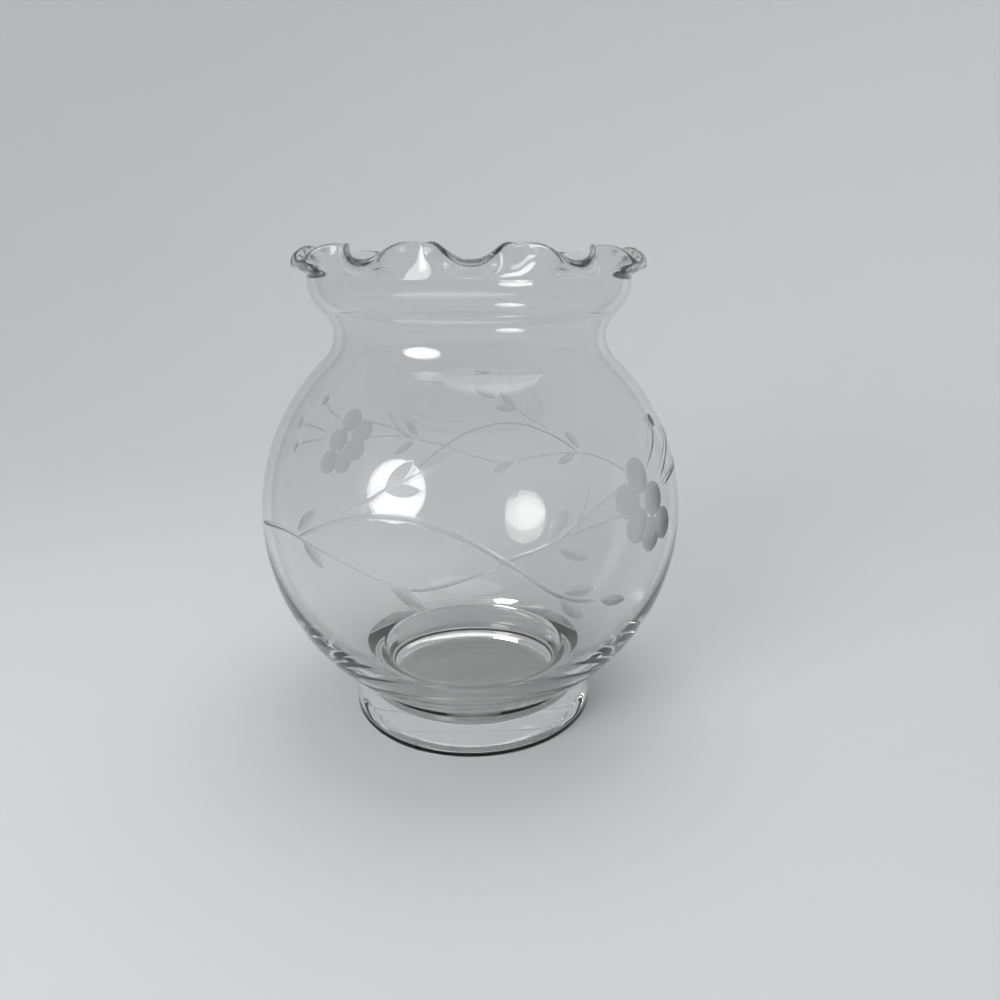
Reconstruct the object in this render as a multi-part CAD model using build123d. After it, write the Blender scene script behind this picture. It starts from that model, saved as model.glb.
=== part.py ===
from build123d import *
import os
from math import cos, degrees, hypot, radians, sin, sqrt, tan

# A rose bowl vase in clear blown glass. Millimetres and degrees.
# The frame: +Z up, the origin at the middle of the ring that it stands on, the front towards -Y.

# Foot ring
FOOT_RADIUS = 38.2        # outside at the table, before its edge is rounded
FOOT_FLARE = 1.1          # how far the wall leans in from the table to the crease under the globe
FOOT_HEIGHT = 14.3        # from the table to that crease
FOOT_RING_WIDTH = 5.2     # glass of the ring, measured at the table
FOOT_OUTER_ROUND = 1.4    # rounded edge outside, at the table
FOOT_INNER_ROUND = 0.3    # rounded edge inside, at the table

# Globe
GLOBE_RADIUS = 62.2
WALL = 2.4                # blown wall from the widest line to the lip

# Heel and well at the bottom of the globe
HEEL_LIFT = 0.7           # underside of the floor above the table
FLOOR_THICKNESS = 3.6     # glass under the well
WELL_DEPTH = 11.1         # from the globe's inside down to the floor
WELL_WALL = 6.9           # between the foot of the well and the heel's side
WELL_DRAFT = 17.0         # slope of the well's side, from upright
WELL_RIM_ROUND = 2.2      # rounded edge where the globe's inside turns down into the well
WELL_FLOOR_ROUND = 7.0    # rounded corner at the floor

# Neck and collar
NECK_RADIUS = 38.8        # outside, at the waist of the neck
NECK_HOLLOW = 8.5         # radius of the hollow curve of the neck
COLLAR_STEP = 6.3         # how far the collar stands out from the neck
SHOULDER_ROUND = 11.0     # radius of the curve from the neck into the collar
COLLAR_BAND = 0.4         # straight band below the lip

# Crimped lip
CRIMP_COUNT = 12
LIP_WALL = 2.4            # upright part of the lip, from the band to where the crimps bend
FLARE = 5.2               # from that bend to the middle of the rounded edge
TROUGH_TILT = 74.0        # outward tilt of a trough, from upright
CREST_TILT = -13.0        # inward tilt of a crest
LIP_EDGE = 1.8            # thickness of the fire-polished edge
TROUGH_BREADTH = 1.3      # over 1, the troughs are broader than the crests
SECTIONS_PER_CRIMP = 16   # sections that one crimp is drawn through
SIDE_STEPS = 6            # points that each side of a section is drawn through
BEND_SHARE = 0.72         # how close to its corner the lip follows the bend

# Wheel-cut sprays
SPRAY_TURNS = [0, 183]    # degrees round the globe to each of the equal sprays
CUTTING_WHEEL = 60.0      # radius of the mitred wheel that cuts the leaves
LEAF_WIDTH = 3.2
PETAL_WHEEL = 60.0        # radius of the round-edged wheel that cuts the petals
PETAL_LENGTH = 9.4
PETAL_WIDTH = 8.6
WHEEL_HALF = 0.7          # half the petal wheel's thickness, in petal widths
STEM_WIDTH = 1.0
STEM_DEPTH = 0.25
TENDRIL_WIDTH = 0.6       # side stems and stamens
TENDRIL_DEPTH = 0.15
DOT_WIDTH = 3.8           # tips of the stamens
DOT_DEPTH = 0.45

# Places on the globe: degrees round it from the front, degrees up from its widest line.
# A stroke is one pass of the wheel through three places, and strokes stop just short of each other.
STEM_STROKES = [
    [(-42.8, 7), (-34.5, 10.7), (-23.4, 13.8)],
    [(-22.6, 14), (-13.5, 14.2), (-4.4, 11.6)],
    [(-3.6, 11.2), (4, 7.2), (11.6, 2)],
    [(12.3, 1.4), (20.5, -4.3), (29, -6.8)],
]
TENDRIL_STROKES = [
    [(-67.5, 3.4), (-56, 5.5), (-45.2, 5.8)],
    [(-44.2, 5.7), (-32, 3.4), (-19.8, 0.1)],
    [(-30.5, 13.6), (-22, 18.7), (-13.4, 23.6)],
    [(-14.2, -0.7), (-9, -0.4), (-3.4, 1.3)],
    [(-2.6, 1.6), (1.5, 3.1), (5.4, 4.6)],
    [(8.6, 5.9), (13, 7.3), (17.6, 8.7)],
    [(18.4, 9.1), (28.5, 14.5), (40, 18.8)],
    [(25.2, 14.4), (27.5, 17.3), (29.2, 20.7)],
    [(23, 10.1), (29.5, 11.1), (36, 11.5)],
]
STAMEN_STROKES = [
    [(49.5, 20.5), (57, 24.8), (62, 28.7)],
    [(56, 17), (66, 21.2), (75.7, 24.2)],
    [(57, 14.6), (65, 15.8), (73.5, 16.3)],
]
STAMEN_TIPS = [(63.9, 30.2), (77.8, 24.8), (75.6, 16.4)]
LEAVES = [
    ((-44.8, 7.6), (-38.4, 13.6)),
    ((-42.2, 4), (-35.2, -0.2)),
    ((-18.7, -0.4), (-10.5, -5.2)),
    ((-20.6, 21.2), (-14.6, 27.2)),
    ((-18.6, 18.9), (-10.4, 19.6)),
    ((-12.1, 24.2), (-3.6, 28.9)),
    ((17, 10.4), (22, 16.4)),
    ((18.6, 7.2), (26.5, 3.6)),
    ((20.6, -2.6), (28.6, -3.4)),
    ((30.4, -7.3), (39.2, -9.3)),
    ((19.4, -5.4), (26.1, -11.2)),
]
FLOWER_MIDDLE = (46.3, 11)
PETALS = [(44.7, 19.5), (39.4, 14.2), (42.3, 8.2), (47.4, 4.9), (53.8, 6.1), (50, 13)]

# Places that follow from the sizes
waist_radius = FOOT_RADIUS - FOOT_FLARE
heel_radius = FOOT_RADIUS - FOOT_RING_WIDTH
globe_level = FOOT_HEIGHT + sqrt(GLOBE_RADIUS**2 - waist_radius**2)
globe_centre = (0, globe_level)
heel_top = globe_level - sqrt(GLOBE_RADIUS**2 - heel_radius**2)
floor_level = HEEL_LIFT + FLOOR_THICKNESS
floor_radius = heel_radius - WELL_WALL
inner_radius = GLOBE_RADIUS - WALL
collar_radius = NECK_RADIUS + COLLAR_STEP

# Centres of the neck's two curves, each tangent to what it meets
neck_reach = NECK_RADIUS + NECK_HOLLOW
neck_centre = (neck_reach, globe_level + sqrt((GLOBE_RADIUS + NECK_HOLLOW)**2 - neck_reach**2))
shoulder_reach = collar_radius - SHOULDER_ROUND
curve_sum = NECK_HOLLOW + SHOULDER_ROUND
shoulder_level = neck_centre[1] + sqrt(curve_sum**2 - (neck_reach - shoulder_reach)**2)
shoulder_centre = (shoulder_reach, shoulder_level)
band_top = shoulder_level + COLLAR_BAND


def towards(start, end, distance):
    """The point at a distance from start on the line to end, in a flat drawing."""
    length = hypot(end[0] - start[0], end[1] - start[1])
    return tuple(a + (b - a) * distance / length for a, b in zip(start, end))


def arc(centre, start, end):
    """The shorter arc about a centre from start to end."""
    middle = ((start[0] + end[0]) / 2, (start[1] + end[1]) / 2)
    radius = hypot(start[0] - centre[0], start[1] - centre[1])
    return ThreePointArc(start, towards(centre, middle, radius), end)


def turned(face):
    """The solid turned about the Z axis from a face of radius and height."""
    return revolve(Plane.XZ * face, Axis.Z)


def rounded(outline, rounds):
    """A face from an outline, with the corners at the given points rounded."""
    face = make_face(outline).face()
    for (x, y), radius in rounds:
        corner = min(face.vertices(), key=lambda v: hypot(v.X - x, v.Y - y))
        face = face.fillet_2d(radius, [corner])
    return face


def chain(points):
    """Straight lines through points."""
    return [Line(a, b) for a, b in zip(points, points[1:])]


def joint_edge():
    """Outer and inner ends of the cut, square to the wall, where the globe turns into the neck."""
    return [towards(globe_centre, neck_centre, radius) for radius in (GLOBE_RADIUS, inner_radius)]


def foot_ring():
    """The low ring, whose top follows the underside of the globe."""
    crease = (waist_radius, FOOT_HEIGHT)
    heel = (heel_radius, heel_top)
    outer_corner = (FOOT_RADIUS, 0)
    inner_corner = (heel_radius, 0)
    outline = [arc(globe_centre, heel, crease)]
    outline += chain([crease, outer_corner, inner_corner, heel])
    face = rounded(outline, [(outer_corner, FOOT_OUTER_ROUND), (inner_corner, FOOT_INNER_ROUND)])
    return turned(face)


def plain_bowl():
    """The globe with its thick floor and well, before any cutting."""
    joint_out, joint_in = joint_edge()
    well_rim = (floor_radius + WELL_DEPTH * tan(radians(WELL_DRAFT)), floor_level + WELL_DEPTH)
    well_foot = (floor_radius, floor_level)
    inward = inner_radius - well_rim[0]
    downward = globe_level - well_rim[1]
    inner_sweep = (inward**2 + downward**2) / (2 * inward)
    inner_centre = (inner_radius - inner_sweep, globe_level)
    widest_inside = (inner_radius, globe_level)
    heel_corner = (heel_radius, heel_top)

    outline = chain([(0, floor_level), (0, HEEL_LIFT), (heel_radius, HEEL_LIFT), heel_corner])
    outline.append(arc(globe_centre, heel_corner, joint_out))
    outline.append(Line(joint_out, joint_in))
    outline.append(arc(globe_centre, joint_in, widest_inside))
    outline.append(arc(inner_centre, widest_inside, well_rim))
    outline += chain([well_rim, well_foot, (0, floor_level)])
    face = rounded(outline, [(well_rim, WELL_RIM_ROUND), (well_foot, WELL_FLOOR_ROUND)])
    return turned(face)


def neck_collar():
    """The drawn-in neck, the curve out to the collar and the straight band under the lip."""
    joint_out, joint_in = joint_edge()
    turn_out = towards(neck_centre, shoulder_centre, NECK_HOLLOW)
    turn_in = towards(neck_centre, shoulder_centre, NECK_HOLLOW + WALL)
    band_out = (collar_radius, shoulder_level)
    band_in = (collar_radius - WALL, shoulder_level)

    outline = [Line(joint_in, joint_out), arc(neck_centre, joint_out, turn_out)]
    outline.append(arc(shoulder_centre, turn_out, band_out))
    outline += chain([band_out, (collar_radius, band_top), (collar_radius - WALL, band_top), band_in])
    outline.append(arc(shoulder_centre, band_in, turn_in))
    outline.append(arc(neck_centre, turn_in, joint_in))
    return turned(make_face(outline))


def round_axis(radius, height, azimuth):
    """A point at an angle round the vase from the front."""
    return Vector(radius * sin(radians(azimuth)), -radius * cos(radians(azimuth)), height)


def mix(low, high, share):
    """The value a share of the way from low to high."""
    return low + (high - low) * share


def lip_section(azimuth):
    """The lip's outline in the plane through the axis at an angle round the vase."""
    crest = (1 - cos(radians(azimuth * CRIMP_COUNT))) / 2
    tilt = radians(mix(TROUGH_TILT, CREST_TILT, crest**TROUGH_BREADTH))
    heading = Vector(sin(tilt), cos(tilt))
    start = Vector(collar_radius - WALL / 2, band_top)
    bend = start + Vector(0, LIP_WALL)
    end = bend + heading * FLARE
    middle = Bezier(start, mix(start, bend, BEND_SHARE), mix(end, bend, BEND_SHARE), end)
    sides = ([], [])
    for step in range(SIDE_STEPS + 1):
        share = step / SIDE_STEPS
        along = middle % share
        across = Vector(along.Y, -along.X) * mix(WALL, LIP_EDGE, share) / 2
        for side, sign in zip(sides, (1, -1)):
            place = middle @ share + across * sign
            side.append(round_axis(place.X, place.Y, azimuth))
    outer, inner = sides
    tip = end + heading * LIP_EDGE / 2
    edges = [
        Spline(*outer),
        ThreePointArc(outer[-1], round_axis(tip.X, tip.Y, azimuth), inner[-1]),
        Spline(*reversed(inner)),
        Line(inner[0], outer[0]),
    ]
    return Wire(edges)


def crimped_lip():
    """One crimp, drawn from crest to crest, and its equal copies joined round the mouth."""
    pitch = 360 / CRIMP_COUNT
    angles = [pitch * (step / SECTIONS_PER_CRIMP - 0.5) for step in range(SECTIONS_PER_CRIMP + 1)]
    crimp = Solid.make_loft([lip_section(angle) for angle in angles])
    skins = [face for face in crimp.faces() if face.geom_type != GeomType.PLANE]
    copies = [Rot(0, 0, pitch * turn) * skin for turn in range(CRIMP_COUNT) for skin in skins]
    return Solid(Shell(copies))


def on_globe(place, lift=0):
    """The point at a place on the globe, lifted off it, and the direction straight out of the glass."""
    azimuth, latitude = place
    outward = round_axis(cos(radians(latitude)), sin(radians(latitude)), azimuth)
    return Vector(0, 0, globe_level) + outward * (GLOBE_RADIUS + lift), outward


def wheel_place(start, end, radius, depth):
    """Where a cutting wheel stands that cuts from start to end, deepest half way."""
    (start_point, _), (end_point, _) = on_globe(start), on_globe(end)
    deepest, outward = on_globe(tuple((a + b) / 2 for a, b in zip(start, end)))
    along = (end_point - start_point).normalized()
    return Plane(deepest + outward * (radius - depth), x_dir=outward, z_dir=outward.cross(along))


def wheel_depth(length, radius):
    """How deep a wheel goes into the globe to leave a cut of a length."""
    return (length / 2)**2 / 2 * (1 / radius + 1 / GLOBE_RADIUS)


def leaf_wheel(start, end):
    """A mitred wheel, whose cut is a pointed leaf with a sharp line down its middle."""
    length = (on_globe(end)[0] - on_globe(start)[0]).length
    depth = wheel_depth(length, CUTTING_WHEEL)
    hub = CUTTING_WHEEL - 2 * depth
    side = LEAF_WIDTH
    outline = [(0, -side), (hub, -side), (CUTTING_WHEEL, 0), (hub, side), (0, side), (0, -side)]
    return wheel_place(start, end, CUTTING_WHEEL, depth) * turned(make_face(chain(outline)))


def petal_wheel(start, end):
    """A round-edged wheel, whose cut is an oval dish."""
    depth = wheel_depth(PETAL_LENGTH, PETAL_WHEEL)
    edge_radius = 1 / (2 * depth / (PETAL_WIDTH / 2)**2 - 1 / GLOBE_RADIUS)
    half = PETAL_WIDTH * WHEEL_HALF
    side = PETAL_WHEEL - edge_radius + sqrt(edge_radius**2 - half**2)
    outline = chain([(side, half), (0, half), (0, -half), (side, -half)])
    outline.append(ThreePointArc((side, -half), (PETAL_WHEEL, 0), (side, half)))
    return wheel_place(start, end, PETAL_WHEEL, depth) * turned(make_face(outline))


def flower_wheels():
    """The wheels for the petals, which all point away from the middle of the flower."""
    wheels = []
    for azimuth, latitude in PETALS:
        flat = cos(radians(latitude))
        outward = Vector((azimuth - FLOWER_MIDDLE[0]) * flat, latitude - FLOWER_MIDDLE[1]).normalized()
        half = degrees(PETAL_LENGTH / 2 / GLOBE_RADIUS)
        ends = []
        for sign in (-1, 1):
            ends.append((azimuth + sign * half * outward.X / flat, latitude + sign * half * outward.Y))
        wheels.append(petal_wheel(*ends))
    return wheels


def groove_radius(width, depth):
    """Radius of the round tool that leaves a groove of a width and depth."""
    return ((width / 2)**2 + depth**2) / (2 * depth)


def stroke_tool(places, width, depth):
    """A round-edged rod along the globe, whose cut is a fine groove."""
    radius = groove_radius(width, depth)
    path = ThreePointArc(*[on_globe(place, radius - depth)[0] for place in places])
    section = Plane(path @ 0, z_dir=path % 0) * Circle(radius)
    return revolve(section, Axis(path.arc_center, path.normal()), degrees(path.length / path.radius))


def dot_tool(place):
    """A ball, whose cut is a round dimple."""
    radius = groove_radius(DOT_WIDTH, DOT_DEPTH)
    return Pos(on_globe(place, radius - DOT_DEPTH)[0]) * Sphere(radius)


def spray_tools():
    """The tools for the stems, leaves and stamens of one spray, which don't meet each other."""
    tools = [stroke_tool(places, STEM_WIDTH, STEM_DEPTH) for places in STEM_STROKES]
    tendrils = TENDRIL_STROKES + STAMEN_STROKES
    tools += [stroke_tool(places, TENDRIL_WIDTH, TENDRIL_DEPTH) for places in tendrils]
    tools += [dot_tool(place) for place in STAMEN_TIPS]
    tools += [leaf_wheel(*ends) for ends in LEAVES]
    return tools


def bowl():
    """The globe with its equal sprays cut into the outside. Petals overlap, so each is a cut of its own."""
    turns = [Rot(0, 0, turn) for turn in SPRAY_TURNS]
    tools = spray_tools()
    glass = plain_bowl() - [turn * tool for turn in turns for tool in tools]
    for wheel in flower_wheels():
        for turn in turns:
            glass = glass - turn * wheel
    return glass


def main():
    os.makedirs("parts", exist_ok=True)
    pieces = {
        "foot_ring": foot_ring(),
        "bowl": bowl(),
        "neck_collar": neck_collar(),
        "crimped_lip": crimped_lip(),
    }
    for name, piece in pieces.items():
        export_step(piece, f"parts/{name}.step")
    height = band_top + LIP_WALL + FLARE * cos(radians(max(CREST_TILT, 0))) + LIP_EDGE / 2
    print(f"ok: {len(pieces)} nodes, {height:.1f} mm high, bowl {2 * GLOBE_RADIUS:.1f} mm wide")


if __name__ == "__main__":
    main()
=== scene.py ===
from math import atan2, cos, pi, radians, sin, sqrt, tan

import bpy
import numpy as np
from mathutils import Matrix, Vector


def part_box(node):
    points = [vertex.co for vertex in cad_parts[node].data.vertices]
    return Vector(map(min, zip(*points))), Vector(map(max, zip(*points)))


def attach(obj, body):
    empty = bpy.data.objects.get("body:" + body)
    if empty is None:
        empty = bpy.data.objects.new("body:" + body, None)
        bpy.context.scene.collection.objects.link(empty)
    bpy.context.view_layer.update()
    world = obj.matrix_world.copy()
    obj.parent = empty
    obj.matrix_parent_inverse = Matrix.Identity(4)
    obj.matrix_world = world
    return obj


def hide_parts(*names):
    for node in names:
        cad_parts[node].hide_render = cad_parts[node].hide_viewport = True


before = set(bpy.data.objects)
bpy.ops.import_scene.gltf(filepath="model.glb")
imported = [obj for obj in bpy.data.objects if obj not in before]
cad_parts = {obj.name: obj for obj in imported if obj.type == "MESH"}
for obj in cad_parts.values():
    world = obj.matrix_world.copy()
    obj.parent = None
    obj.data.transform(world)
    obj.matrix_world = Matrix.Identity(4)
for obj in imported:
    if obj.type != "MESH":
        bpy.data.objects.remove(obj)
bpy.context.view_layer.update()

# A rose bowl vase in clear blown glass. Sizes are in millimetres and degrees, as in the part's source,
# and meshes are written in metres. +Z is up and the front faces -Y.
MM = 0.001
BODY = "root"


def box_mm(node):
    """Lowest and highest corner of a CAD node in millimetres."""
    low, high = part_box(node)
    return low / MM, high / MM


foot_high = box_mm("foot_ring")[1]
bowl_low, bowl_high = box_mm("bowl")
collar_high = box_mm("neck_collar")[1]

# Foot ring
FOOT_RADIUS = 38.2        # outside at the table, before its edge is rounded
FOOT_FLARE = 1.1          # how far the wall leans in from the table to the crease under the globe
FOOT_HEIGHT = foot_high.z
FOOT_RING_WIDTH = 5.2     # glass of the ring, measured at the table
FOOT_OUTER_ROUND = 1.4    # rounded edge outside, at the table
FOOT_INNER_ROUND = 0.3    # rounded edge inside, at the table

# Globe, heel and well
GLOBE_RADIUS = bowl_high.x
WALL = 2.4                # blown wall from the widest line to the lip
HEEL_LIFT = bowl_low.z    # underside of the floor above the table
FLOOR_THICKNESS = 3.6     # glass under the well
WELL_DEPTH = 11.1         # from the globe's inside down to the floor
WELL_WALL = 6.9           # between the foot of the well and the heel's side
WELL_DRAFT = 17.0         # slope of the well's side, from upright
WELL_RIM_ROUND = 2.2      # rounded edge where the globe's inside turns down into the well
WELL_FLOOR_ROUND = 7.0    # rounded corner at the floor

# Neck and collar
NECK_RADIUS = 38.8        # outside, at the waist of the neck
NECK_HOLLOW = 8.5         # radius of the hollow curve of the neck
SHOULDER_ROUND = 11.0     # radius of the curve from the neck into the collar
COLLAR_RADIUS = collar_high.x
BAND_TOP = collar_high.z  # top of the straight band below the lip

# Crimped lip
CRIMP_COUNT = 12
LIP_WALL = 2.4            # upright part of the lip, from the band to where the crimps bend
FLARE = 5.2               # from that bend to the middle of the rounded edge
TROUGH_TILT = 74.0        # outward tilt of a trough, from upright
CREST_TILT = -13.0        # inward tilt of a crest
LIP_EDGE = 1.8            # thickness of the fire-polished edge
TROUGH_BREADTH = 1.3      # over 1, the troughs are broader than the crests
BEND_SHARE = 0.72         # how close to its corner the lip follows the bend

# Wheel-cut sprays
SPRAY_TURNS = [0, 183]    # degrees round the globe to each of the equal sprays
CUTTING_WHEEL = 60.0      # radius of the mitred wheel that cuts the leaves
LEAF_WIDTH = 3.2
PETAL_WHEEL = 60.0        # radius of the round-edged wheel that cuts the petals
PETAL_LENGTH = 9.4
PETAL_WIDTH = 8.6
STEM_WIDTH = 1.0
STEM_DEPTH = 0.25
TENDRIL_WIDTH = 0.6       # side stems and stamens
TENDRIL_DEPTH = 0.15
STEM_TAPER = 3.0          # length over which the free end of a stem narrows
STEM_TIP = 0.4            # share of its width left at a free end
DOT_WIDTH = 3.8           # tips of the stamens
DOT_DEPTH = 0.45

# Places on the globe: degrees round it from the front, degrees up from its widest line.
STEMS = [
    [(-44.7, 5.7), (-34.8, 10.6), (-26.4, 13.4), (-20.7, 14.3), (-13.4, 14.2), (-8.3, 12.8), (-0.6, 10),
     (7.4, 5), (13.6, 0.4), (18.6, -3.2), (23.8, -5.6), (29.4, -6.9)],
]
TENDRILS = [
    [(-67.5, 3.4), (-53.1, 5.7), (-44.7, 5.7), (-34.5, 4), (-26.1, 1.9), (-18.6, -0.3)],
    [(-32.9, 11.5), (-29.8, 14.2), (-24.7, 16.8), (-20.1, 20.1), (-15.9, 22.3), (-12.1, 24.2)],
    [(-15.2, -0.8), (-11.2, -0.9), (-4.9, 0.8), (1.7, 3.2), (7.9, 5.8), (13.6, 7.3), (18.5, 9)],
    [(18.5, 9), (24.5, 12.5), (28.9, 14.8), (33.7, 16.5), (39.9, 18.8)],
    [(18.5, 9), (22.3, 10.9), (25.9, 15.2), (29.2, 20.7)],
    [(18.5, 9), (26.5, 10.7), (37.4, 11.6)],
    [(24.8, -7.4), (26.3, -7.7), (27.8, -7.3)],
    [(49.5, 20.5), (57, 24.8), (63.2, 29.7)],
    [(56, 17), (66, 21.2), (76.8, 24.4)],
    [(57, 14.6), (65, 15.8), (74.5, 16.4)],
]
DOTS = [(63.9, 30.2), (77.8, 24.8), (75.6, 16.4)]
LEAVES = [
    ((-44.8, 7.3), (-38.4, 13.3)),
    ((-42.5, 5), (-35.2, 0.3)),
    ((-18.6, -0.3), (-10.5, -5.2)),
    ((-20.1, 20.4), (-14, 26.7)),
    ((-20.1, 19.9), (-11.4, 20.4)),
    ((-12.1, 24.2), (-3.6, 28.9)),
    ((16.9, 9.8), (22, 15.9)),
    ((18.3, 7.7), (26.4, 3.7)),
    ((19.8, -3.1), (28.2, -3.6)),
    ((30.4, -7.3), (39, -9.4)),
    ((19.4, -4.5), (26.1, -10.8)),
]
FLOWER_MIDDLE = (46.3, 11)
PETALS = [(44.7, 19.5), (39.4, 14.2), (42.3, 8.2), (47.4, 4.9), (53.8, 6.1), (50, 13)]

# Meshing
COLUMNS = 360             # sections round the vase
FINE = 0.25               # degrees between points in the cuts
CELL = 8                  # fine steps in a plain cell of the globe
BAND_LOW = -16            # lowest and highest latitude of the band that holds the cuts
BAND_HIGH = 34
SPRAY_REACH = 86          # degrees that hold a spray, to each side of its middle
CUT_MARGIN = 0.35         # fine cells reach this far beyond a cut
FAR = 2.0                 # distance from a cut that counts as far from any
STEM_STEPS = 5            # steps along a stem from one of its places to the next
SAME_PLACE = 1e-6         # points closer than this are one

# Rows of points along each stretch of a section, with its two ends
ROUND_ROWS = 9            # a rounded edge
SMALL_ROUND_ROWS = 7      # the smallest one, inside the foot
UNDERSIDE_ROWS = 6
FOOT_SIDE_ROWS = 8
LOW_GLOBE_ROWS = 22       # outside, from the foot to the cuts
HIGH_GLOBE_ROWS = 9       # outside, from the cuts to the neck
HIGH_INSIDE_ROWS = 18     # inside, from the neck to the widest line
LOW_INSIDE_ROWS = 22      # inside, from there to the well
WELL_SIDE_ROWS = 4
WELL_FLOOR_ROWS = 6
NECK_ROWS = 16
SHOULDER_ROWS = 14
BAND_ROWS = 3
LIP_SIDE_ROWS = 14
LIP_TIP_ROWS = 10

# Places that follow from the sizes
waist_radius = FOOT_RADIUS - FOOT_FLARE
heel_radius = FOOT_RADIUS - FOOT_RING_WIDTH
globe_level = FOOT_HEIGHT + sqrt(GLOBE_RADIUS**2 - waist_radius**2)
floor_level = HEEL_LIFT + FLOOR_THICKNESS
floor_radius = heel_radius - WELL_WALL
inner_radius = GLOBE_RADIUS - WALL
neck_reach = NECK_RADIUS + NECK_HOLLOW
neck_level = globe_level + sqrt((GLOBE_RADIUS + NECK_HOLLOW)**2 - neck_reach**2)
shoulder_reach = COLLAR_RADIUS - SHOULDER_ROUND
curve_sum = NECK_HOLLOW + SHOULDER_ROUND
shoulder_level = neck_level + sqrt(curve_sum**2 - (neck_reach - shoulder_reach)**2)
joint_latitude = atan2(neck_level - globe_level, neck_reach)
waist_latitude = atan2(FOOT_HEIGHT - globe_level, waist_radius)
turn_angle = atan2(shoulder_level - neck_level, shoulder_reach - neck_reach)


def mix(low, high, share):
    """The value a share of the way from low to high."""
    return low + (high - low) * share


def unit(vectors):
    """Vectors of the same directions and a length of 1."""
    return vectors / np.linalg.norm(vectors, axis=-1, keepdims=True)


# Sections: rows of radius, height and the outward normal, with the glass always on the left.

def arc_rows(centre, radius, start, end, count, sign=1):
    """Rows along an arc; sign is -1 where the glass lies outside the circle."""
    angles = np.linspace(start, end, count)
    out = np.stack([np.cos(angles), np.sin(angles)], 1)
    return np.hstack([np.array(centre) + out * radius, out * sign])


def line_rows(start, end, count):
    """Rows along a straight line."""
    along = np.array(end, float) - np.array(start, float)
    normal = np.array([along[1], -along[0]]) / np.hypot(*along)
    places = np.array(start) + np.linspace(0, 1, count)[:, None] * along
    return np.hstack([places, np.tile(normal, (count, 1))])


def fillet_rows(before, corner, after, radius, count):
    """Rows along the arc that rounds the corner between two straight lines."""
    corner = np.array(corner, float)
    back = unit(np.array(before) - corner)
    ahead = unit(np.array(after) - corner)
    half = np.arccos(back @ ahead) / 2
    centre = corner + unit(back + ahead) * radius / sin(half)
    first = corner + back * radius / tan(half) - centre
    last = corner + ahead * radius / tan(half) - centre
    start = atan2(first[1], first[0])
    sweep = (atan2(last[1], last[0]) - start + pi) % (2 * pi) - pi
    return arc_rows(centre, radius, start, start + sweep, count, np.sign(sweep))


def joined(*stretches):
    """Stretches of a section in one, without the first row of each that repeats the last."""
    return np.vstack([stretches[0]] + [stretch[1:] for stretch in stretches[1:]])


def foot_section():
    """From the underside down the ring's inside, across its flat and up to the crease under the globe."""
    top_inside = (heel_radius, HEEL_LIFT)
    inner_corner = (heel_radius, 0)
    outer_corner = (FOOT_RADIUS, 0)
    crease = (waist_radius, FOOT_HEIGHT)
    inner_round = fillet_rows(top_inside, inner_corner, outer_corner, FOOT_INNER_ROUND, SMALL_ROUND_ROWS)
    outer_round = fillet_rows(inner_corner, outer_corner, crease, FOOT_OUTER_ROUND, ROUND_ROWS)
    return joined(
        line_rows(top_inside, inner_round[0, :2], 2),
        inner_round,
        line_rows(inner_round[-1, :2], outer_round[0, :2], 2),
        outer_round,
        line_rows(outer_round[-1, :2], crease, FOOT_SIDE_ROWS),
    )


def bowl_inside_section():
    """From the neck down the globe's inside, over the rim of the well and across its floor."""
    well_rim = np.array([floor_radius + WELL_DEPTH * tan(radians(WELL_DRAFT)), floor_level + WELL_DEPTH])
    well_foot = np.array([floor_radius, floor_level])
    middle = (0, floor_level)
    inward = inner_radius - well_rim[0]
    downward = globe_level - well_rim[1]
    sweep_radius = (inward**2 + downward**2) / (2 * inward)
    centre = (inner_radius - sweep_radius, globe_level)
    rim_angle = atan2(well_rim[1] - globe_level, well_rim[0] - centre[0])
    tangent = np.array([-sin(rim_angle), cos(rim_angle)])
    rim_round = fillet_rows(well_rim + tangent, well_rim, well_foot, WELL_RIM_ROUND, ROUND_ROWS)
    foot_round = fillet_rows(well_rim, well_foot, middle, WELL_FLOOR_ROUND, ROUND_ROWS)
    sweep_end = rim_round[0, :2] - np.array(centre)
    return joined(
        arc_rows((0, globe_level), inner_radius, joint_latitude, 0, HIGH_INSIDE_ROWS, -1),
        arc_rows(centre, sweep_radius, 0, atan2(sweep_end[1], sweep_end[0]), LOW_INSIDE_ROWS, -1),
        rim_round,
        line_rows(rim_round[-1, :2], foot_round[0, :2], WELL_SIDE_ROWS),
        foot_round,
        line_rows(foot_round[-1, :2], middle, WELL_FLOOR_ROWS),
    )


def collar_sections():
    """The neck, shoulder and band: up the outside, and down the inside."""
    neck_centre = (neck_reach, neck_level)
    shoulder_centre = (shoulder_reach, shoulder_level)
    joint_angle = joint_latitude - pi
    neck_turn = turn_angle - 2 * pi
    shoulder_turn = turn_angle - pi
    inside_radius = COLLAR_RADIUS - WALL
    outside = joined(
        arc_rows(neck_centre, NECK_HOLLOW, joint_angle, neck_turn, NECK_ROWS, -1),
        arc_rows(shoulder_centre, SHOULDER_ROUND, shoulder_turn, 0, SHOULDER_ROWS),
        line_rows((COLLAR_RADIUS, shoulder_level), (COLLAR_RADIUS, BAND_TOP), BAND_ROWS),
    )
    inside = joined(
        line_rows((inside_radius, BAND_TOP), (inside_radius, shoulder_level), BAND_ROWS),
        arc_rows(shoulder_centre, SHOULDER_ROUND - WALL, 0, shoulder_turn, SHOULDER_ROWS, -1),
        arc_rows(neck_centre, NECK_HOLLOW + WALL, neck_turn, joint_angle, NECK_ROWS),
    )
    return outside, inside


# Meshes

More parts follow.
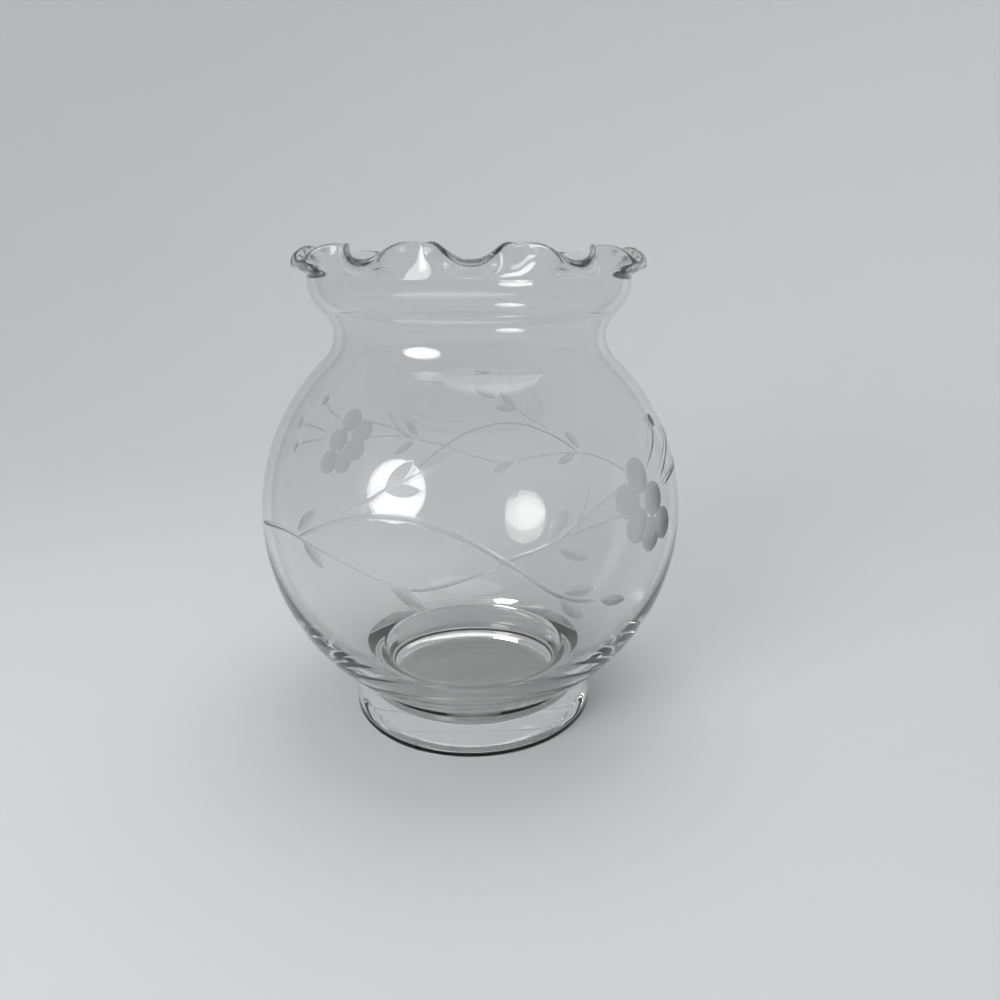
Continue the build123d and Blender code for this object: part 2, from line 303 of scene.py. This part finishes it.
def round_axis(radius, height, azimuth):
    """Points at angles round the vase from the front."""
    angle = np.radians(azimuth)
    return np.stack(np.broadcast_arrays(radius * np.sin(angle), -radius * np.cos(angle), height), -1)


def smooth_object(name, points, faces, material):
    """An object in the scene with a smooth mesh of points in metres."""
    mesh = bpy.data.meshes.new(name)
    mesh.from_pydata(points.tolist(), [], faces)
    mesh.polygons.foreach_set("use_smooth", [True] * len(mesh.polygons))
    mesh.materials.append(material)
    made = bpy.data.objects.new(name, mesh)
    bpy.context.scene.collection.objects.link(made)
    return made


class Skin:
    """Points, their normals, faces and how far inside a cut each point lies, gathered for one mesh."""

    def __init__(self):
        self.points, self.normals, self.ground, self.faces = [], [], [], []
        self.count = 0

    def add(self, points, normals, faces, ground=None):
        """A stretch of the mesh, whose faces count its own points from 0. Without ground it is uncut."""
        points = np.asarray(points).reshape(-1, 3)
        self.points.append(points)
        self.normals.append(np.asarray(normals).reshape(-1, 3))
        self.ground.append(np.full(len(points), -FAR) if ground is None else ground)
        self.faces += [[corner + self.count for corner in face] for face in faces]
        self.count += len(points)

    def add_grid(self, points, normals):
        """Rows of points that each run right round the vase. A row of one place becomes a single point."""
        rows, columns = points.shape[:2]
        index = np.arange(rows * columns).reshape(rows, columns)
        for row in (0, rows - 1):
            if np.ptp(points[row], axis=0).max() < SAME_PLACE:
                index[row] = index[row, 0]
        faces = []
        for low, high in zip(index, index[1:]):
            for corners in zip(low, np.roll(low, -1), np.roll(high, -1), high):
                faces.append(list(dict.fromkeys(int(corner) for corner in corners)))
        used = sorted({corner for face in faces for corner in face})
        place = {old: new for new, old in enumerate(used)}
        faces = [[place[corner] for corner in face] for face in faces]
        self.add(points.reshape(-1, 3)[used], normals.reshape(-1, 3)[used], faces)

    def add_lathe(self, rows):
        """A section turned round the axis."""
        azimuth = np.arange(COLUMNS) * 360 / COLUMNS
        points = round_axis(rows[:, :1], rows[:, 1:2], azimuth)
        normals = round_axis(rows[:, 2:3], rows[:, 3:4], azimuth)
        self.add_grid(points, normals)

    def piece(self, name, material):
        """The finished object, which stands for the CAD node of the same name."""
        made = smooth_object(name, np.vstack(self.points) * MM, self.faces, material)
        ground = made.data.attributes.new("ground", "FLOAT", "POINT")
        ground.data.foreach_set("value", np.concatenate(self.ground).astype(np.float32))
        made.data.normals_split_custom_set_from_vertices(np.vstack(self.normals).tolist())
        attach(made, BODY)
        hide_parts(name.removesuffix("_glass"))


# Cuts: how deep the wheel went at each point of the globe, and how far inside a cut the point lies.

def on_globe(place):
    """Unit direction of a place on the globe from the globe's middle."""
    azimuth, latitude = np.asarray(place, float).T
    return round_axis(np.cos(np.radians(latitude)), np.sin(np.radians(latitude)), azimuth)


def wheel_depth(length, wheel):
    """How deep a wheel goes into the globe to leave a cut of a length."""
    return (length / 2)**2 / 2 * (1 / wheel + 1 / GLOBE_RADIUS)


def smooth_line(places):
    """Points on the smooth line through places."""
    places = np.array(places, float)
    padded = np.vstack([2 * places[0] - places[1], places, 2 * places[-1] - places[-2]])
    line = [places[0]]
    for a, b, c, d in zip(padded, padded[1:], padded[2:], padded[3:]):
        for step in range(1, STEM_STEPS + 1):
            t = step / STEM_STEPS
            line.append(b + (c - a) / 2 * t + (a - 2.5 * b + 2 * c - d / 2) * t**2
                        + (1.5 * (b - c) + (d - a) / 2) * t**3)
    return np.array(line)


class Cuts:
    """The engraved depth over a patch of the globe that holds one spray."""

    def __init__(self, azimuth, latitude):
        places = np.stack(np.meshgrid(azimuth, latitude), -1)
        self.points = on_globe(places.reshape(-1, 2)).reshape(*places.shape[:2], 3) * GLOBE_RADIUS
        self.depth = np.zeros(places.shape[:2])
        self.inside = np.full(places.shape[:2], -FAR)

    def merge(self, depth, inside):
        """Where cuts overlap, the deepest one counts."""
        self.depth = np.maximum(self.depth, np.where(inside > 0, depth, 0))
        self.inside = np.maximum(self.inside, inside)

    def local(self, start, end):
        """Place along a cut in half lengths and across it in mm, from its middle, and its half length."""
        first, last = on_globe([start, end]) * GLOBE_RADIUS
        middle = (first + last) / 2
        along = unit(last - first)
        across = np.cross(unit(middle), along)
        offset = self.points - middle
        half = np.linalg.norm(last - first) / 2
        return offset @ along / half, offset @ across, half

    def leaf(self, start, end):
        """A mitre cut, pointed at both ends, with a sharp line down its middle."""
        along, across, half = self.local(start, end)
        deepest = wheel_depth(2 * half, CUTTING_WHEEL)
        core = 1 - along**2
        aside = np.abs(across) / (LEAF_WIDTH / 2)
        beyond = np.maximum(np.abs(along) - 1, 0) * half
        inside = np.where(beyond > 0, -np.hypot(beyond, across), (core - aside) * LEAF_WIDTH / 2)
        self.merge(deepest * (core - aside), inside)

    def petal(self, start, end):
        """An oval dish."""
        along, across, _ = self.local(start, end)
        squared = along**2 + (across / (PETAL_WIDTH / 2))**2
        deepest = wheel_depth(PETAL_LENGTH, PETAL_WHEEL)
        self.merge(deepest * (1 - squared), (1 - np.sqrt(squared)) * PETAL_WIDTH / 2)

    def flower(self):
        """The petals, which all point away from the middle of the flower."""
        for azimuth, latitude in PETALS:
            flat = cos(radians(latitude))
            outward = unit(np.array([(azimuth - FLOWER_MIDDLE[0]) * flat, latitude - FLOWER_MIDDLE[1]]))
            step = outward * np.degrees(PETAL_LENGTH / 2 / GLOBE_RADIUS) / [flat, 1]
            self.petal((azimuth, latitude) - step, (azimuth, latitude) + step)

    def dot(self, place):
        """A round dimple."""
        away = np.linalg.norm(self.points - on_globe([place])[0] * GLOBE_RADIUS, axis=-1)
        radius = DOT_WIDTH / 2
        self.merge(DOT_DEPTH * (1 - (away / radius)**2), radius - away)

    def stem(self, places, stem_width, deepest):
        """A fine groove along a smooth line, narrower at its ends."""
        path = on_globe(smooth_line(places)) * GLOBE_RADIUS
        steps = np.linalg.norm(np.diff(path, axis=0), axis=1)
        run = np.concatenate([[0], np.cumsum(steps)])
        from_end = np.minimum(run, run[-1] - run)
        width = stem_width / 2 * np.clip(from_end / STEM_TAPER, STEM_TIP, 1)
        for number, step in enumerate(steps):
            first, last = path[number:number + 2]
            along = (last - first) / step
            share = np.clip((self.points - first) @ along / step, 0, 1)
            away = np.linalg.norm(self.points - first - share[..., None] * (last - first), axis=-1)
            half = mix(width[number], width[number + 1], share)
            self.merge(deepest * (half / (stem_width / 2)) * (1 - (away / half)**2), half - away)


def all_round(spray, plain):
    """One spray's values laid round the globe at each of its turns, and a plain value between."""
    band = np.full((len(spray), round(360 / FINE)), float(plain))
    band[:, :spray.shape[1]] = spray
    steps = [round((turn - SPRAY_REACH) / FINE) for turn in SPRAY_TURNS]
    return np.max([np.roll(band, step, axis=1) for step in steps], axis=0)


def engraved_band():
    """Depth and distance inside a cut over the band of the globe that the sprays cover."""
    latitude = np.arange(BAND_LOW, BAND_HIGH + FINE / 2, FINE)
    azimuth = np.arange(-SPRAY_REACH, SPRAY_REACH, FINE)
    cuts = Cuts(azimuth, latitude)
    for places in STEMS:
        cuts.stem(places, STEM_WIDTH, STEM_DEPTH)
    for places in TENDRILS:
        cuts.stem(places, TENDRIL_WIDTH, TENDRIL_DEPTH)
    for ends in LEAVES:
        cuts.leaf(*ends)
    cuts.flower()
    for place in DOTS:
        cuts.dot(place)
    return latitude, all_round(cuts.depth, 0), all_round(cuts.inside, -FAR)


def globe_map():
    """The globe's latitudes, the cuts' depth and distance over it, and the rows where its cells begin."""
    band, band_depth, band_inside = engraved_band()
    below = np.linspace(np.degrees(waist_latitude), BAND_LOW, LOW_GLOBE_ROWS)[:-1]
    above = np.linspace(BAND_HIGH, np.degrees(joint_latitude), HIGH_GLOBE_ROWS)[1:]
    latitude = np.concatenate([below, band, above])
    plain_rows = ((len(below), len(above)), (0, 0))
    depth = np.pad(band_depth, plain_rows)
    inside = np.pad(band_inside, plain_rows, constant_values=-FAR)
    first, last = len(below), len(below) + len(band)
    levels = [*range(first), *range(first, last, CELL), *range(last, len(latitude))]
    return latitude, depth, inside, levels


def globe_points(latitude, depth):
    """Points of the cut globe, and normals that lean with the slopes of the cuts."""
    rising = np.radians(latitude)[:, None]
    azimuth = np.arange(depth.shape[1]) * FINE
    outward = round_axis(np.cos(rising), np.sin(rising), azimuth)
    north = round_axis(-np.sin(rising), np.cos(rising), azimuth)
    east = round_axis(np.ones_like(rising), np.zeros_like(rising), azimuth + 90)
    angle = np.radians(FINE)
    upward = np.gradient(depth, axis=0) / angle / GLOBE_RADIUS
    sideways = (np.roll(depth, -1, 1) - np.roll(depth, 1, 1)) / (2 * angle) / (GLOBE_RADIUS * np.cos(rising))
    normals = unit(outward + upward[..., None] * north + sideways[..., None] * east)
    points = outward * (GLOBE_RADIUS - depth)[..., None] + np.array([0, 0, globe_level])
    return points, normals


def square_faces(block):
    """A face for each small square of a block of points."""
    corners = [block[:-1, :-1], block[:-1, 1:], block[1:, 1:], block[1:, :-1]]
    return np.stack(corners, -1).reshape(-1, 4).tolist()


def ring_face(block):
    """One face through the points in use round the edge of a block."""
    walk = np.concatenate([block[0, :-1], block[:-1, -1], block[-1, :0:-1], block[:0:-1, 0]])
    return walk[walk >= 0].tolist()


def globe_faces(inside, levels):
    """Which points are in use, and the faces between them, fine in the cuts and plain elsewhere."""
    steps = inside.shape[1]
    wrapped = np.arange(steps + 1) % steps
    cells = [(low, high, left) for low, high in zip(levels, levels[1:]) for left in range(0, steps, CELL)]
    used = np.zeros(inside.shape, bool)
    used[np.ix_(levels, range(0, steps, CELL))] = True
    # At its two seams the globe has a point for each column of its neighbours.
    used[[0, -1], ::steps // COLUMNS] = True
    fine = []
    for low, high, left in cells:
        window = np.ix_(range(low, high + 1), wrapped[left:left + CELL + 1])
        fine.append(high - low > 1 and inside[window].max() > -CUT_MARGIN)
        if fine[-1]:
            used[window] = True

    index = np.full(inside.shape, -1)
    index[used] = np.arange(used.sum())
    index = index[:, wrapped]
    faces = []
    for (low, high, left), is_fine in zip(cells, fine):
        block = index[low:high + 1, left:left + CELL + 1]
        faces += square_faces(block) if is_fine else [ring_face(block)]
    return used, faces


def engraved_globe(skin):
    """The globe's outside, with its cuts."""
    latitude, depth, inside, levels = globe_map()
    points, normals = globe_points(latitude, depth)
    used, faces = globe_faces(inside, levels)
    skin.add(points[used], normals[used], faces, inside[used])


def lip_rows(azimuth):
    """The lip's section at each angle: up its outside, over the rounded edge and down its inside."""
    crest = (1 - np.cos(np.radians(azimuth * CRIMP_COUNT))) / 2
    tilt = np.radians(mix(TROUGH_TILT, CREST_TILT, crest**TROUGH_BREADTH))
    heading = np.stack([np.sin(tilt), np.cos(tilt)], 1)
    start = np.array([COLLAR_RADIUS - WALL / 2, BAND_TOP])
    bend = start + np.array([0, LIP_WALL])
    end = bend + heading * FLARE
    rise = mix(start, bend, BEND_SHARE)
    fall = mix(end, bend, BEND_SHARE)

    sides = ([], [])
    for share in np.linspace(0, 1, LIP_SIDE_ROWS):
        rest = 1 - share
        middle = rest**3 * start + 3 * rest**2 * share * rise + 3 * rest * share**2 * fall + share**3 * end
        along = 3 * rest**2 * (rise - start) + 6 * rest * share * (fall - rise) + 3 * share**2 * (end - fall)
        along = unit(along)
        across = np.stack([along[:, 1], -along[:, 0]], 1) * mix(WALL, LIP_EDGE, share) / 2
        sides[0].append(middle + across)
        sides[1].append(middle - across)
    across = np.stack([heading[:, 1], -heading[:, 0]], 1)
    tip = []
    for angle in np.linspace(0, pi, LIP_TIP_ROWS)[1:-1]:
        tip.append(end + (across * cos(angle) + heading * sin(angle)) * LIP_EDGE / 2)
    return np.array(sides[0] + tip + sides[1][::-1])


def lip_glass(skin):
    """The crimped mouth, with normals from its neighbouring points."""
    azimuth = np.arange(COLUMNS) * 360 / COLUMNS
    rows = lip_rows(azimuth)
    points = round_axis(rows[..., 0], rows[..., 1], azimuth)
    along = np.gradient(points, axis=0)
    around = np.roll(points, -1, 1) - np.roll(points, 1, 1)
    along[0] = [0, 0, 1]
    along[-1] = [0, 0, -1]
    skin.add_grid(points, unit(np.cross(around, along)))


# Glass
GLASS_TINT = (0.905, 0.912, 0.905, 1)
EDGE_TINT_AND_PAINTED_SHADE = (0.33, 0.35, 0.345, 1)    # partly the tint of light that crosses the wall lengthwise, partly painted shade that darkens the glass's edges
EDGE_SHADE_START = 0.68         # how far from face-on the painted edge shade begins, where 1 is edge-on
GLASS_IOR = 1.5
FILM_SCALE = 45           # a faint film on the polish, in patches
FILM_DETAIL = 5
FILM_START = 0.45         # noise at which the film begins, and at which it is full
FILM_FULL = 0.8
FILM_ROUGHNESS = 0.04
GROUND_WHITE = (0.78, 0.79, 0.79, 1)
GROUND_EDGE = 0.05        # mm over which a cut's polish turns grey
GROUND_ROUGHNESS = 0.5
GROUND_HAZE = 0.08        # share of light that the ground surface scatters like frost
GRAIN_SCALE = 2600        # the fine grain that grinding leaves
GRAIN_DETAIL = 3
GRAIN_SPREAD = 0.15       # how far the grain takes the roughness up and down


class Shading:
    """A new material, with short ways to add nodes to its Principled shader."""

    def __init__(self, name):
        self.material = bpy.data.materials.new(name)
        self.material.use_nodes = True
        self.tree = self.material.node_tree
        self.shader = self.tree.nodes["Principled BSDF"]

    def add(self, kind, **settings):
        """A node with settings, which are the node's own or those of its inputs."""
        node = self.tree.nodes.new(kind)
        for key, value in settings.items():
            if key in node.inputs:
                node.inputs[key].default_value = value
            else:
                setattr(node, key, value)
        return node

    def feed(self, node, key, value):
        """Another node's output, or a plain value, put into an input of a node."""
        if isinstance(value, bpy.types.NodeSocket):
            self.tree.links.new(value, node.inputs[key])
        else:
            node.inputs[key].default_value = value

    def noise(self, scale, detail):
        """Noise that is fixed to the object."""
        texture = self.add("ShaderNodeTexNoise", Scale=scale, Detail=detail)
        self.feed(texture, "Vector", self.add("ShaderNodeTexCoord").outputs["Object"])
        return texture.outputs["Fac"]

    def ramp(self, value, start, end, low=0, high=1, shape="LINEAR"):
        """A value's range from start to end, turned into the one from low to high."""
        node = self.add("ShaderNodeMapRange", interpolation_type=shape)
        ends = {"Value": value, "From Min": start, "From Max": end, "To Min": low, "To Max": high}
        for key, number in ends.items():
            self.feed(node, key, number)
        return node.outputs["Result"]

    def blend(self, share, first, second, kind="FLOAT"):
        """A share of the way from the first value or colour to the second."""
        node = self.add("ShaderNodeMix", data_type=kind)
        for key, value in {"Factor": share, "A": first, "B": second}.items():
            self.feed(node, key, value)
        return node.outputs["Result"]


def glass_material():
    """Polished glass with a faint film and painted shade at its edges, and grey ground glass inside the
    cuts.
    """
    shading = Shading("clear_glass")
    inside = shading.add("ShaderNodeAttribute", attribute_name="ground").outputs["Fac"]
    ground = shading.ramp(inside, -GROUND_EDGE, GROUND_EDGE, shape="SMOOTHSTEP")

    grain = shading.noise(GRAIN_SCALE, GRAIN_DETAIL)
    film = shading.noise(FILM_SCALE, FILM_DETAIL)
    polish = shading.ramp(film, FILM_START, FILM_FULL, high=FILM_ROUGHNESS)
    frost = shading.ramp(grain, 0, 1, GROUND_ROUGHNESS - GRAIN_SPREAD, GROUND_ROUGHNESS + GRAIN_SPREAD)
    shading.feed(shading.shader, "Roughness", shading.blend(ground, polish, frost))
    clearness = shading.ramp(ground, 0, 1, 1, 1 - GROUND_HAZE)
    shading.feed(shading.shader, "Transmission Weight", clearness)

    # Painted shade: the glass's colour darkens as its surface turns edge-on, only partly for the longer path
    # through the wall.
    facing = shading.add("ShaderNodeLayerWeight", Blend=0.5).outputs["Facing"]
    edge_shade = shading.ramp(facing, EDGE_SHADE_START, 1, shape="SMOOTHSTEP")
    clear = shading.blend(edge_shade, GLASS_TINT, EDGE_TINT_AND_PAINTED_SHADE, "RGBA")
    shading.feed(shading.shader, "Base Color", shading.blend(ground, clear, GROUND_WHITE, "RGBA"))
    shading.feed(shading.shader, "IOR", GLASS_IOR)
    return shading.material


# The studio, in metres: a pale floor that rises into a round backdrop, and its light
FLOOR_REACH = 0.45        # radius of the flat floor
SWEEP = 0.6               # radius of the curve from the floor into the wall
WALL_TOP = 1.15
WALL_ROWS = 6
SWEEP_ROWS = 40
FLOOR_ROWS = 12
FLOOR_COLOUR = (0.75, 0.755, 0.758, 1)
FLOOR_SHADE = 0.98        # share of that colour left in the darker patches
FLOOR_ROUGHNESS = 0.9
FLOOR_GLOSS = 0.1
PAPER_SCALE = 6           # size and detail of those patches
PAPER_DETAIL = 3
GLOBE_FRONT = (0, -0.057, 0.082)      # where the front lamp points
TABLE_MIDDLE = (0, 0, 0)
SKY_COLOUR = (0.95, 0.975, 1, 1)
SKY_STRENGTH = 0.45
MOST_BOUNCES = 36         # light is mirrored many times inside the thick heel before it leaves
GLOSSY_BOUNCES = 30
TRANSMISSION_BOUNCES = 32


def stage_material():
    """Matt paper with a hardly visible mottle."""
    shading = Shading("pale_backdrop")
    paper = shading.noise(PAPER_SCALE, PAPER_DETAIL)
    darker = [channel * FLOOR_SHADE for channel in FLOOR_COLOUR[:3]] + [1]
    shading.feed(shading.shader, "Base Color", shading.blend(paper, darker, FLOOR_COLOUR, "RGBA"))
    shading.feed(shading.shader, "Roughness", FLOOR_ROUGHNESS)
    shading.feed(shading.shader, "Specular IOR Level", FLOOR_GLOSS)
    return shading.material


def backdrop():
    """The round wall, its sweep and the floor, in one smooth sheet."""
    skin = Skin()
    skin.add_lathe(joined(
        line_rows((FLOOR_REACH + SWEEP, WALL_TOP), (FLOOR_REACH + SWEEP, SWEEP), WALL_ROWS),
        arc_rows((FLOOR_REACH, SWEEP), SWEEP, 0, -pi / 2, SWEEP_ROWS, -1),
        line_rows((FLOOR_REACH, 0), (0, 0), FLOOR_ROWS),
    ))
    smooth_object("backdrop", np.vstack(skin.points), skin.faces, stage_material())


def lamp(name, azimuth, elevation, distance, width, radiance, aim, spread):
    """A round lamp at an angle round its aim from the front, and at one above it."""
    light = bpy.data.lights.new(name, "AREA")
    light.shape = "DISK"
    light.size = width
    half = radians(spread / 2)
    light.spread = 2 * half
    # A lamp of a narrower spread gets less power, so that it is as bright to look at.
    light.energy = radiance * pi * pi * (width / 2)**2 * (1 - half / tan(half))
    made = bpy.data.objects.new(name, light)
    around, rising = radians(azimuth), radians(elevation)
    away = Vector((sin(around) * cos(rising), -cos(around) * cos(rising), sin(rising)))
    made.location = Vector(aim) + away * distance
    made.rotation_euler = away.to_track_quat("Z", "Y").to_euler()
    made.visible_camera = False
    bpy.context.scene.collection.objects.link(made)


def sky():
    """Even light from all round."""
    world = bpy.data.worlds.new("studio")
    world.use_nodes = True
    background = world.node_tree.nodes["Background"]
    background.inputs["Color"].default_value = SKY_COLOUR
    background.inputs["Strength"].default_value = SKY_STRENGTH
    bpy.context.scene.world = world


def studio():
    """The stage, a round lamp in front, a soft one above and the sky."""
    backdrop()
    lamp("lamp_front", azimuth=-43, elevation=20.5, distance=0.75, width=0.42, radiance=9,
         aim=GLOBE_FRONT, spread=90)
    lamp("lamp_above", azimuth=150, elevation=80, distance=1.6, width=1.3, radiance=1.6,
         aim=TABLE_MIDDLE, spread=179)
    sky()
    scene = bpy.context.scene
    scene.view_settings.view_transform = "Standard"
    scene.cycles.max_bounces = MOST_BOUNCES
    scene.cycles.glossy_bounces = GLOSSY_BOUNCES
    scene.cycles.transmission_bounces = TRANSMISSION_BOUNCES


# The photograph's viewpoint
IMAGE_WIDTH = 1000        # pixels
FOCAL_LENGTH = 735.8      # pixels
SENSOR_WIDTH = 36         # millimetres
NEAREST = 0.005           # metres from the camera at which things begin to show
CAMERA_PLACE = (0, -218.04, 133.09)   # millimetres from the middle of the foot
PITCH = 17.075            # degrees down
ROLL = 0.179              # degrees about the line of sight
YAW = -2.251              # degrees about the upright


def camera():
    """The camera at its place, with its three turns."""
    pitch, roll, yaw = radians(PITCH), radians(ROLL), radians(YAW)
    data = bpy.data.cameras.new("camera")
    data.sensor_width = SENSOR_WIDTH
    data.lens = FOCAL_LENGTH / IMAGE_WIDTH * SENSOR_WIDTH
    data.clip_start = NEAREST
    made = bpy.data.objects.new("camera", data)
    turn = Matrix.Rotation(yaw, 3, "Z")
    forward = turn @ Vector((0, cos(pitch), -sin(pitch)))
    up = turn @ Vector((0, sin(pitch), cos(pitch)))
    right = turn @ Vector((1, 0, 0))
    rolled_right = right * cos(roll) + up * sin(roll)
    rolled_up = up * cos(roll) - right * sin(roll)
    axes = Matrix((rolled_right, rolled_up, -forward)).transposed()
    made.matrix_world = Matrix.Translation(Vector(CAMERA_PLACE) * MM) @ axes.to_4x4()
    bpy.context.scene.collection.objects.link(made)
    bpy.context.scene.camera = made


def vase():
    """The four pieces of glass."""
    glass = glass_material()
    foot = Skin()
    foot.add_lathe(foot_section())
    foot.piece("foot_ring_glass", glass)

    bowl = Skin()
    bowl.add_lathe(line_rows((0, HEEL_LIFT), (heel_radius, HEEL_LIFT), UNDERSIDE_ROWS))
    engraved_globe(bowl)
    bowl.add_lathe(bowl_inside_section())
    bowl.piece("bowl_glass", glass)

    collar = Skin()
    for section in collar_sections():
        collar.add_lathe(section)
    collar.piece("neck_collar_glass", glass)

    lip = Skin()
    lip_glass(lip)
    lip.piece("crimped_lip_glass", glass)


vase()
studio()
camera()
